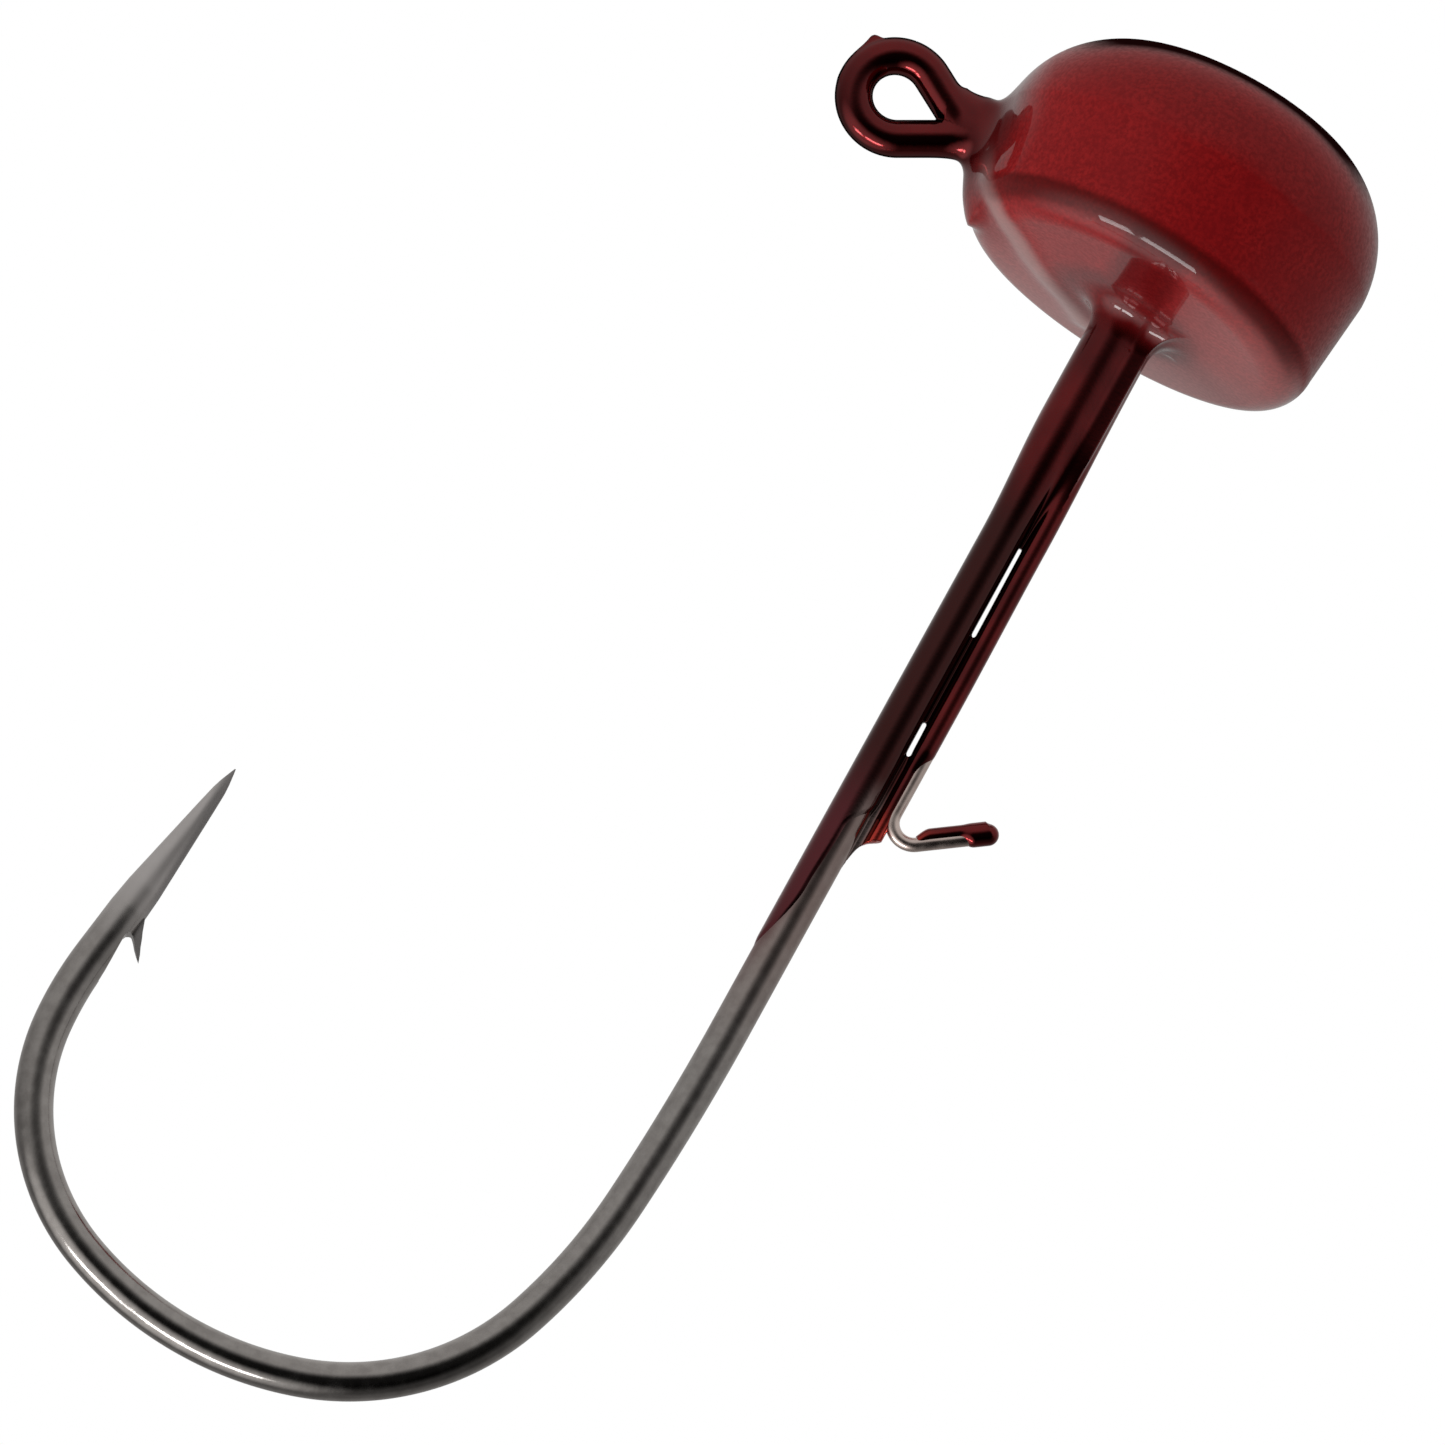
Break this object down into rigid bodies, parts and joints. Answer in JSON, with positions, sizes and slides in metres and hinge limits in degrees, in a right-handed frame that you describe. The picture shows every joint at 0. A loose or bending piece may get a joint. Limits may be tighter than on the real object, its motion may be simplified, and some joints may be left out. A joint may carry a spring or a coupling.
{
  "type": "jig head",
  "caption": "Mushroom fishing jig head: red-coated lead head cast on a barbed wire hook, with a line eye and a fine wire bait keeper along the shank.",
  "frame": {"origin": "where the shank's axis meets the head's flat back face", "axes": "+X along the shank towards the nose, +Z towards the line eye and the hook point, +Y across the hook's plane"},
  "size_m": [0.0394, 0.0096, 0.0193],
  "materials": {
    "hook_wire": "polished black nickel",
    "lead": "matte",
    "keeper_wire": "bright",
    "red_coat": "gloss"
  },
  "bodies": {
    "root": {"hook": "hook_wire", "lead_head": "lead", "keeper_wire": "keeper_wire", "red_coat": "red_coat"}
  },
  "joints": []
}
